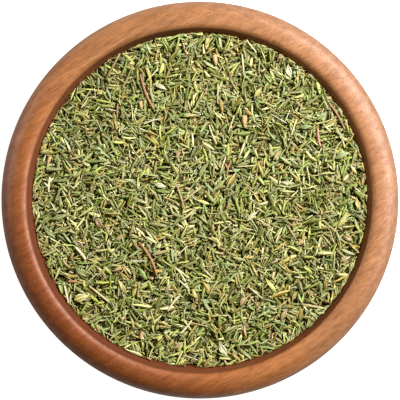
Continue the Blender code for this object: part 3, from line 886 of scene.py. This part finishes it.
def dry_leaf_group():
    """The skin of a dried leaf: midrib, margin lightened as painted highlight, furrows darkened as painted
    shade, mottling and a browned tip.
    """
    wires, given, result = new_tree(
        "Dry leaf",
        "ShaderNodeTree",
        [
            *SKIN_INPUTS,
            ("Leaf colour", "Color", (0.3, 0.35, 0.1, 1.0)),
            ("Rib colour", "Color", (0.6, 0.62, 0.3, 1.0)),
            ("Tip colour", "Color", (0.30, 0.20, 0.06, 1.0)),
            ("Tip share", "Float", 0.3),
            ("Furrows", "Float", 0.3),
            ("Rib", "Float", 0.6),
        ],
        SKIN_OUTPUTS,
    )
    mottle = wires.noise(given["Place"], 3.0, 3.0, 0.6)
    speckle = wires.fade(wires.noise(given["Place"], 11.0, 2.0, 0.6), 0.56, 0.70)
    wavy = wires.times(wires.minus(mottle, 0.5), 0.12)
    off_middle = wires.maths("ABSOLUTE", wires.plus(wires.minus(given["Across"], 0.5), wavy))
    rib = wires.fade(off_middle, 0.11, 0.04)
    margin = wires.fade(off_middle, 0.29, 0.40)
    furrow_shade_mask = wires.times(wires.minus(1.0, rib), wires.minus(1.0, margin))
    colour = wires.scaled(given["Leaf colour"], wires.remap(mottle, 0.3, 0.7, 0.55, 1.35))
    # Painted shade: the furrows between the midrib and the margins are darkened.
    colour = wires.scaled(colour, wires.minus(1.0, wires.times(furrow_shade_mask, given["Furrows"])))
    # The paler margins are painted highlight along the rolled edges; the midrib is paler in its own colour.
    light = wires.times(wires.maths("MAXIMUM", wires.times(rib, given["Rib"]), margin), 0.6)
    colour = wires.blend(light, colour, given["Rib colour"])
    colour = wires.blend(wires.times(speckle, 0.4), colour, given["Tip colour"])
    reach = wires.plus(given["Along"], wires.times(mottle, 0.4))
    browned = wires.times(wires.fade(reach, 0.85, 1.15), given["Tip share"])
    skin = {
        "Colour": wires.blend(browned, colour, given["Tip colour"]),
        "Roughness": wires.remap(mottle, 0.3, 0.7, 0.37, 0.61),
        "Height": wires.plus(wires.times(light, 1.2), mottle),
    }
    wires.feed(result, skin)
    return wires.tree


def dry_stem_group():
    """The bark of a dried stem: fine ridges along it, and darker and paler lengths."""
    wires, given, result = new_tree(
        "Dry stem",
        "ShaderNodeTree",
        [
            *SKIN_INPUTS,
            ("Stem colour", "Color", (0.5, 0.4, 0.2, 1.0)),
            ("Dark colour", "Color", (0.2, 0.1, 0.05, 1.0)),
            ("Ridges", "Float", 9.0),
        ],
        SKIN_OUTPUTS,
    )
    mottle = wires.noise(given["Place"], 2.0, 3.0, 0.6)
    turn = wires.times(wires.times(given["Across"], given["Ridges"]), math.tau)
    ridge = wires.remap(wires.maths("SINE", turn), -1.0, 1.0)
    colour = wires.scaled(given["Stem colour"], wires.remap(mottle, 0.3, 0.7, 0.65, 1.3))
    dark_length = wires.fade(mottle, 0.56, 0.68, 0.0, 0.55)
    colour = wires.blend(dark_length, colour, given["Dark colour"])
    groove = wires.times(wires.minus(1.0, ridge), 0.32)
    cut = wires.remap(wires.maths("ABSOLUTE", wires.minus(given["Along"], 0.5)), 0.46, 0.5, 0.0, 0.5)
    skin = {
        "Colour": wires.blend(wires.maths("MAXIMUM", groove, cut), colour, given["Dark colour"]),
        "Roughness": wires.remap(mottle, 0.3, 0.7, 0.5, 0.8),
        "Height": wires.plus(ridge, mottle),
    }
    wires.feed(result, skin)
    return wires.tree


LEAF_COLOURS = [
    (0.00, (0.110, 0.122, 0.005)),
    (0.10, (0.160, 0.195, 0.011)),
    (0.22, (0.192, 0.308, 0.050)),
    (0.34, (0.236, 0.372, 0.090)),
    (0.46, (0.300, 0.385, 0.041)),
    (0.58, (0.400, 0.460, 0.058)),
    (0.70, (0.500, 0.530, 0.122)),
    (0.80, (0.640, 0.640, 0.215)),
    (0.86, (0.800, 0.790, 0.370)),
    (0.90, (0.480, 0.420, 0.075)),
    (0.95, (0.290, 0.200, 0.031)),
    (1.00, (0.420, 0.300, 0.058)),
]
STEM_COLOURS = [
    (0.0, (0.25, 0.16, 0.06)),
    (0.25, (0.40, 0.28, 0.12)),
    (0.5, (0.52, 0.42, 0.19)),
    (0.75, (0.60, 0.56, 0.29)),
    (1.0, (0.70, 0.68, 0.46)),
]
CUP_COLOURS = [
    (0.0, (0.36, 0.24, 0.09)),
    (0.4, (0.50, 0.38, 0.16)),
    (0.8, (0.52, 0.47, 0.21)),
    (1.0, (0.50, 0.32, 0.12)),
]
# Rows of the map: upper sides of leaves from 0, undersides from 8, stems from 12, cups at 14, crumbs at 15.
FIRST_UNDER, FIRST_WOODY, FIRST_CUP, FIRST_CRUMB = 8.0, 12.0, 14.0, 15.0


def pile_material(leaf_group, stem_group):
    """The loose pieces. Each cell of the map is one skin, so a colour depends only on its place there."""
    material, wires, shader = new_material("dried_thyme")
    spread = wires.scaled(wires.add("ShaderNodeUVMap", uv_map="OFBake").outputs[0], float(SKIN_COLUMNS))
    cell = wires.vector_maths("FLOOR", spread)
    inside = wires.vector_maths("SUBTRACT", spread, cell)
    local = wires.parts(inside)
    along = wires.remap(local["X"], SKIN_MARGIN, 1 - SKIN_MARGIN)
    across = wires.remap(local["Y"], SKIN_MARGIN, 1 - SKIN_MARGIN)
    draw = wires.add("ShaderNodeTexWhiteNoise", {"Vector": cell}, noise_dimensions="3D")
    draws = wires.add("ShaderNodeSeparateColor", {0: draw.outputs["Color"]}).outputs
    row = wires.parts(cell)["Y"]

    def past(first):
        return wires.maths("GREATER_THAN", row, first - 0.5)

    def before(first):
        return wires.maths("LESS_THAN", row, first - 0.5)

    def along_rows(first, end):
        """From 0 to 1 over a span of rows, with each cell's own draw in between."""
        return wires.maths("DIVIDE", wires.plus(wires.minus(row, first), draws["Red"]), end - first)

    under = wires.times(past(FIRST_UNDER), before(FIRST_WOODY))
    woody = wires.times(past(FIRST_WOODY), before(FIRST_CRUMB))
    brightness = wires.remap(draws["Green"], 0.0, 1.0, 0.62, 1.38)
    upper_pick = wires.times(along_rows(0.0, FIRST_UNDER), before(FIRST_UNDER))
    under_pick = wires.times(along_rows(FIRST_UNDER, FIRST_WOODY), under)
    leaf = wires.ramp(wires.plus(upper_pick, under_pick), LEAF_COLOURS)
    leaf = wires.blend(wires.times(under, 0.35), leaf, (0.48, 0.52, 0.24))
    leaf = wires.scaled(leaf, brightness)
    stem, cup = (wires.ramp(draws["Red"], colours) for colours in (STEM_COLOURS, CUP_COLOURS))
    stem = wires.scaled(wires.blend(past(FIRST_CUP), stem, cup), brightness)
    stretch = wires.vector_maths("MULTIPLY", inside, (3.0, 1.2, 1.0))
    grain_place = wires.vector_maths("ADD", stretch, wires.vector_maths("MULTIPLY", cell, (7.0, 5.0, 1.0)))
    common = {"Along": along, "Across": across, "Place": grain_place}
    leaf_values = {
        "Leaf colour": leaf,
        "Rib colour": wires.blend(0.5, leaf, (0.72, 0.70, 0.27)),
        "Tip share": wires.remap(draws["Blue"], 0.45, 1.0, 0.0, 0.85),
        # Painted shade in the furrows, deeper on the undersides.
        "Furrows": wires.plus(wires.times(under, 0.15), 0.45),
        "Rib": wires.plus(wires.times(under, 0.7), 0.2),
    }
    stem_values = {"Stem colour": stem, "Dark colour": wires.scaled(stem, 0.4)}
    leaf_skin, stem_skin = (
        wires.add("ShaderNodeGroup", {**common, **values}, node_tree=group).outputs
        for group, values in ((leaf_group, leaf_values), (stem_group, stem_values))
    )
    finish = {
        "Base Color": wires.blend(woody, leaf_skin["Colour"], stem_skin["Colour"]),
        "Roughness": leaf_skin["Roughness"],
        "Specular IOR Level": 0.5,
        "Normal": wires.relief(leaf_skin["Height"], 0.6, 0.05 * MM),
    }
    wires.feed(shader, finish)
    return material


# The finish of each material slot of the bits that lie on top.
LEAF_FINISHES = {
    # the leaf's, its rib's and its tip's colours, the share of the tip that is browned, the painted shade in
    # its furrows
    "green_leaf": ((0.22, 0.30, 0.075), (0.52, 0.56, 0.26), (0.24, 0.18, 0.05), 0.5, 0.5),
    "yellow_leaf": ((0.50, 0.44, 0.11), (0.68, 0.62, 0.28), (0.40, 0.24, 0.06), 0.7, 0.4),
    "tan_leaf": ((0.42, 0.29, 0.11), (0.60, 0.48, 0.24), (0.24, 0.13, 0.05), 0.7, 0.5),
    "brown_leaf": ((0.26, 0.14, 0.05), (0.44, 0.29, 0.13), (0.12, 0.06, 0.02), 0.8, 0.5),
    "pale_leaf": ((0.58, 0.57, 0.30), (0.80, 0.78, 0.52), (0.40, 0.34, 0.15), 0.5, 0.5),
}
STEM_FINISHES = {
    # the stem's colour, its dark lengths' colour, the ridges round it
    "pale_stem": ((0.62, 0.57, 0.34), (0.34, 0.22, 0.10), 5.0),
    "brown_stem": ((0.38, 0.19, 0.08), (0.14, 0.06, 0.03), 5.0),
    "pink_stem": ((0.52, 0.26, 0.17), (0.22, 0.09, 0.05), 5.0),
    "flower_cup": ((0.54, 0.37, 0.16), (0.24, 0.12, 0.05), 8.0),
}


def bit_material(name, group, sockets, finish, relief):
    """A bit's material: its finish goes into the group's named sockets."""
    material, wires, shader = new_material(name)
    spot = wires.parts(wires.add("ShaderNodeAttribute", attribute_name="blade").outputs["Vector"])
    place = wires.scaled(wires.add("ShaderNodeTexCoord").outputs["Object"], 420.0)
    values = {"Along": spot["X"], "Across": spot["Y"], "Place": place}
    for socket, value in zip(sockets, finish):
        values[socket] = (*value, 1.0) if isinstance(value, tuple) else value
    skin = wires.add("ShaderNodeGroup", values, node_tree=group).outputs
    bump = wires.relief(skin["Height"], *relief)
    wires.feed(shader, {"Base Color": skin["Colour"], "Roughness": skin["Roughness"], "Normal": bump})
    return material


def bit_materials(leaf_group, stem_group):
    leaf_sockets = ("Leaf colour", "Rib colour", "Tip colour", "Tip share", "Furrows")
    stem_sockets = ("Stem colour", "Dark colour", "Ridges")
    made = {}
    for group, sockets, finishes, relief in (
        (leaf_group, leaf_sockets, LEAF_FINISHES, (0.7, 0.08 * MM)),
        (stem_group, stem_sockets, STEM_FINISHES, (0.6, 0.05 * MM)),
    ):
        for name, finish in finishes.items():
            made[name] = bit_material(name, group, sockets, finish, relief)
    return made


def depths_material():
    """The fine broken leaf deep in the fill, in near-black browns that are painted shade for the gaps between
    the loose pieces.
    """
    material, wires, shader = new_material("thyme_depths")
    place = wires.add("ShaderNodeTexCoord").outputs["Object"]
    tone = wires.noise(place, 900.0, 3.0, 0.7)
    # Near-black browns: painted shade seen through the gaps between the loose pieces.
    shaded_browns = [(0.3, (0.014, 0.016, 0.002)), (0.55, (0.060, 0.064, 0.010)), (0.75, (0.150, 0.140, 0.030))]
    finish = {
        "Base Color": wires.ramp(tone, shaded_browns),
        "Roughness": wires.remap(tone, 0.3, 0.7, 0.8, 0.95),
        "Specular IOR Level": 0.15,
        "Normal": wires.relief(tone, 0.8, 0.3 * MM),
    }
    wires.feed(shader, finish)
    return material


# ==== the bits on top ====

# How a leaf dries: shares of its width and thickness, a twist in radians, and a sway as a share of its length.
LEAF_WAIST = 0.5
LEAF_UNEVEN = 0.12
LEAF_THINNING = 0.7
LEAF_FOLD = 0.5
LEAF_SINK = 0.12
LEAF_TWIST = (0.3, 0.8)
LEAF_SWAY = (-0.07, 0.07)


def own_axes(mesh):
    """The vertices' middle, and each vertex measured from it on the bit's own long, wide and thin axes."""
    spots = np.empty(len(mesh.vertices) * 3, np.float32)
    mesh.vertices.foreach_get("co", spots)
    spots = spots.reshape(-1, 3).astype(np.float64)
    middle = spots.mean(axis=0)
    axes = np.linalg.eigh((spots - middle).T @ (spots - middle))[1][:, ::-1]
    for column in (0, 1):
        axes[:, column] *= np.sign(axes[np.argmax(np.abs(axes[:, column])), column])
    axes[:, 2] *= np.sign(axes[2, 2])
    return middle, axes, (spots - middle) @ axes


def store_blade(mesh):
    """Stores how far along and across each vertex is, as shares of the bit's length and width."""
    places = own_axes(mesh)[2]
    shares = (places - places.min(axis=0)) / np.ptp(places, axis=0)
    shares[:, 2] = 0.0
    layer = mesh.attributes.new("blade", "FLOAT_VECTOR", "POINT")
    layer.data.foreach_set("vector", shares.astype(np.float32).ravel())


def curl_leaf(mesh, twist, sway):
    """Dries a leaf out: it twists along its length, sways to one side, narrows at the ends and folds up."""
    middle, axes, places = own_axes(mesh)
    length, width = np.ptp(places[:, 0]), np.ptp(places[:, 1])
    along = (places[:, 0] - places[:, 0].min()) / length - 0.5
    uneven = LEAF_UNEVEN * np.sin(9.0 * along + 20 * sway)
    across = places[:, 1] * (1.0 - LEAF_WAIST * (2 * np.abs(along)) ** 1.5 - uneven)
    up = places[:, 2] * LEAF_THINNING + LEAF_FOLD * np.abs(across) - LEAF_SINK * width
    turn = twist * 2 * along
    places[:, 1] = across * np.cos(turn) - up * np.sin(turn) + sway * length * (1 - 4 * along**2)
    places[:, 2] = across * np.sin(turn) + up * np.cos(turn)
    mesh.vertices.foreach_set("co", (middle + places @ axes.T).astype(np.float32).ravel())
    mesh.update()


def dress_bit(node_name, material):
    """A smoother copy of a bit that lies on top, in its own finish."""
    shape = bmesh.new()
    shape.from_mesh(frame["nodes"][node_name].data)
    bmesh.ops.remove_doubles(shape, verts=shape.verts, dist=0.002 * MM)
    limits = {"angle_face_threshold": math.radians(35), "angle_shape_threshold": math.radians(60)}
    bmesh.ops.join_triangles(shape, faces=shape.faces, **limits)
    mesh = finished_mesh(node_name + "_dry", shape)
    mesh.materials.clear()
    mesh.materials.append(material)
    store_blade(mesh)
    if "_leaf_" in node_name:
        chance = np.random.default_rng(sum(node_name.encode()))
        curl_leaf(mesh, chance.uniform(*LEAF_TWIST) * chance.choice((-1, 1)), chance.uniform(*LEAF_SWAY))
    piece = add_piece(node_name + "_dry", mesh)
    smoothing = piece.modifiers.new("Smooth", "SUBSURF")
    smoothing.levels = smoothing.render_levels = 1
    return piece


# ==== stage ====


def make_stage():
    """A white floor, which the camera sees brighter than it lights the bowl."""
    floor = bmesh.new()
    bmesh.ops.create_grid(floor, x_segments=1, y_segments=1, size=FLOOR_SIZE)
    bmesh.ops.translate(floor, verts=floor.verts, vec=(0.0, 0.0, -FLOOR_DROP))
    mesh = finished_mesh("floor", floor)
    piece = add_piece("floor", mesh)
    material, wires, shader = new_material("white_floor")
    finish = {
        "Base Color": (0.6, 0.6, 0.6, 1.0),
        "Roughness": 0.9,
        "Emission Color": (1.0, 1.0, 1.0, 1.0),
        "Emission Strength": wires.add("ShaderNodeLightPath").outputs["Is Camera Ray"],
    }
    wires.feed(shader, finish)
    mesh.materials.append(material)
    return piece


def add_light(name, azimuth, elevation, size, power, colour, lit, shading=None):
    """A soft light aimed at the bowl. It lights the pieces in lit, and those in shading alone shade it."""
    light = bpy.data.lights.new(name, "AREA")
    light.shape = "ELLIPSE"
    light.size, light.size_y = size
    light.energy = power
    light.color = colour
    lamp = bpy.data.objects.new(name, light)
    turn, rise = math.radians(azimuth), math.radians(elevation)
    away = Vector((math.cos(turn) * math.cos(rise), math.sin(turn) * math.cos(rise), math.sin(rise)))
    lamp.location = Vector((0, 0, CREST_HEIGHT)) + away * LIGHT_DISTANCE
    lamp.rotation_mode = "QUATERNION"
    lamp.rotation_quaternion = away.to_track_quat("Z", "Y")
    bpy.context.scene.collection.objects.link(lamp)
    for role, pieces in (("receiver", lit), ("blocker", shading)):
        if pieces:
            linked = bpy.data.collections.new(f"{name}_{role}s")
            for piece in pieces:
                linked.objects.link(piece)
            setattr(lamp.light_linking, role + "_collection", linked)
    return lamp


def make_lights(bowl, fill, floor):
    """The bowl and the thyme have keys of their own, so that the lip throws no shade on the thyme."""
    lit = {"key_on_bowl": [bowl, floor], "key_on_thyme": fill}
    for name, *settings in LIGHTS:
        shading = fill if name == "key_on_thyme" else None
        lamp = add_light(name, *settings, lit.get(name, [bowl]), shading)
        lamp.visible_glossy = name != "key_on_bowl"
        lamp.visible_diffuse = "sheen" not in name


def make_world():
    world = bpy.data.worlds.new("studio")
    world.use_nodes = True
    world.node_tree.nodes.clear()
    wires = Wiring(world.node_tree)
    seen = wires.add("ShaderNodeLightPath").outputs["Is Camera Ray"]
    colour = wires.blend(seen, SURROUND_COLOUR, (1.0, 1.0, 1.0))
    strength = wires.remap(seen, 0.0, 1.0, SURROUND_STRENGTH, 1.0)
    ambient = wires.add("ShaderNodeBackground", {"Color": colour, "Strength": strength})
    wires.add("ShaderNodeOutputWorld", {"Surface": ambient.outputs[0]})
    bpy.context.scene.world = world
    bpy.context.scene.view_settings.view_transform = "Standard"


def make_camera():
    """Straight above, leaning a little, with the rim filling nearly the whole width."""
    camera = bpy.data.cameras.new("camera")
    camera.lens, camera.sensor_width = 200.0, 36.0
    eye = bpy.data.objects.new("camera", camera)
    distance = RIM_RADIUS / (CAMERA_FILL * camera.sensor_width / 2 / camera.lens)
    away = Vector((math.sin(CAMERA_LEAN), 0.0, math.cos(CAMERA_LEAN)))
    away.rotate(Matrix.Rotation(CAMERA_LEAN_TURN, 3, "Z"))
    right = Vector((0.0, 1.0, 0.0)).cross(away).normalized()
    up = away.cross(right)
    # The near side looks a little bigger, so the aim moves towards it to keep the rim in the middle.
    nearer = RIM_RADIUS**2 / distance * Vector((away.x, away.y, 0.0))
    aim = Vector((0.0, 0.0, RIM_WIDEST_HEIGHT)) + nearer
    facing = Matrix((right, up, away)).transposed().to_4x4()
    eye.matrix_world = Matrix.Translation(aim + distance * away) @ facing
    bpy.context.scene.collection.objects.link(eye)
    bpy.context.scene.camera = eye


def finish_piece(piece, slot, *nodes):
    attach(piece, "root")
    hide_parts(*nodes)
    return piece


def make_bowl(turned):
    wood = wood_material(turned_wood_group())
    values = {"Segments": TURN_SEGMENTS, "Material": wood}
    return finish_piece(turn_piece("bowl_turned", bowl_profile(), turned, values), "bowl_wood", "bowl")


def make_depths(turned):
    """The closed body of the fill below the loose pieces."""
    side = [point for point in inside_curve(24) if FLOOR_HEIGHT <= point.y < DEPTHS_TOP]
    edge = side[-1].x - WALL_CLEARANCE
    surface = [(edge * ring / DEPTHS_RINGS, DEPTHS_TOP) for ring in range(DEPTHS_RINGS + 1)]
    inner = [(max(0.0, point.x - DEPTHS_SHELL), point.y + DEPTHS_SHELL) for point in side[-2:0:-1]]
    profile = surface + inner + [(0.0, FLOOR_HEIGHT + DEPTHS_SHELL)]
    values = {
        "Material": depths_material(),
        "Segments": 128,
        "Heap height": 2.0 * MM,
        "Heap size": 400.0,
        "Heap floor": DEPTHS_TOP - 0.1 * MM,
    }
    return finish_piece(turn_piece("thyme_depths", profile, turned, values), "dried_thyme", "thyme_bed")


def make_pile(bits, leaf_group, stem_group):
    shapes, kinds = make_shapes()
    laid = strew_pile(kinds, bits)
    tree = strewn_tree()
    values = {"Shapes": shapes, "Material": pile_material(leaf_group, stem_group)}
    pieces = []
    for part in range(PILE_PARTS):
        points = points_mesh("points", laid[part::PILE_PARTS])
        piece = grow(f"loose_thyme_{part + 1}", points, tree, values)
        pieces.append(finish_piece(piece, "dried_thyme", "thyme_bed"))
    return pieces


def slot_of(node_name):
    """The record's material slot of a CAD node."""
    return next(row["material_slot"] for row in frame["record"]["subparts"] if row["node"] == node_name)


def main():
    make_camera()
    make_world()
    floor = make_stage()
    turned = turned_form_tree()
    leaf_group, stem_group = dry_leaf_group(), dry_stem_group()
    bits = sorted(name for name in frame["nodes"] if name not in ("bowl", "thyme_bed"))
    bowl = make_bowl(turned)
    fill = [make_depths(turned), *make_pile(bits, leaf_group, stem_group)]
    finishes = bit_materials(leaf_group, stem_group)
    for name in bits:
        slot = slot_of(name)
        fill.append(finish_piece(dress_bit(name, finishes[slot]), slot, name))
    make_lights(bowl, fill, floor)


main()
